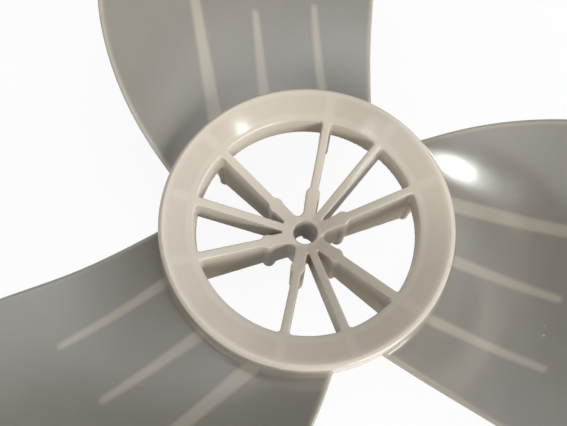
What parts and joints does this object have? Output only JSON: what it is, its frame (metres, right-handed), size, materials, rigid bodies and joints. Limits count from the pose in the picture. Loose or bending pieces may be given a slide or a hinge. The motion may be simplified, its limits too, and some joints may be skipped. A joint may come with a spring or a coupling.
{
  "type": "pedestal fan blade",
  "caption": "Moulded translucent fan blade: a dished hub ring with spokes to a bored boss, and wide twisted blades with tapered ribs and thickened edges that push air from a shaft.",
  "frame": {"origin": "shaft axis at the rear end of the boss, level with the rear ends of the knobs", "axes": "+Z along the shaft axis towards the front of the fan, +X along a plain spoke"},
  "size_m": [0.2945, 0.2964, 0.0699],
  "materials": {
    "milky_plastic": "satin, slightly translucent"
  },
  "bodies": {
    "root": {"fan_blade": "milky_plastic"}
  },
  "joints": []
}
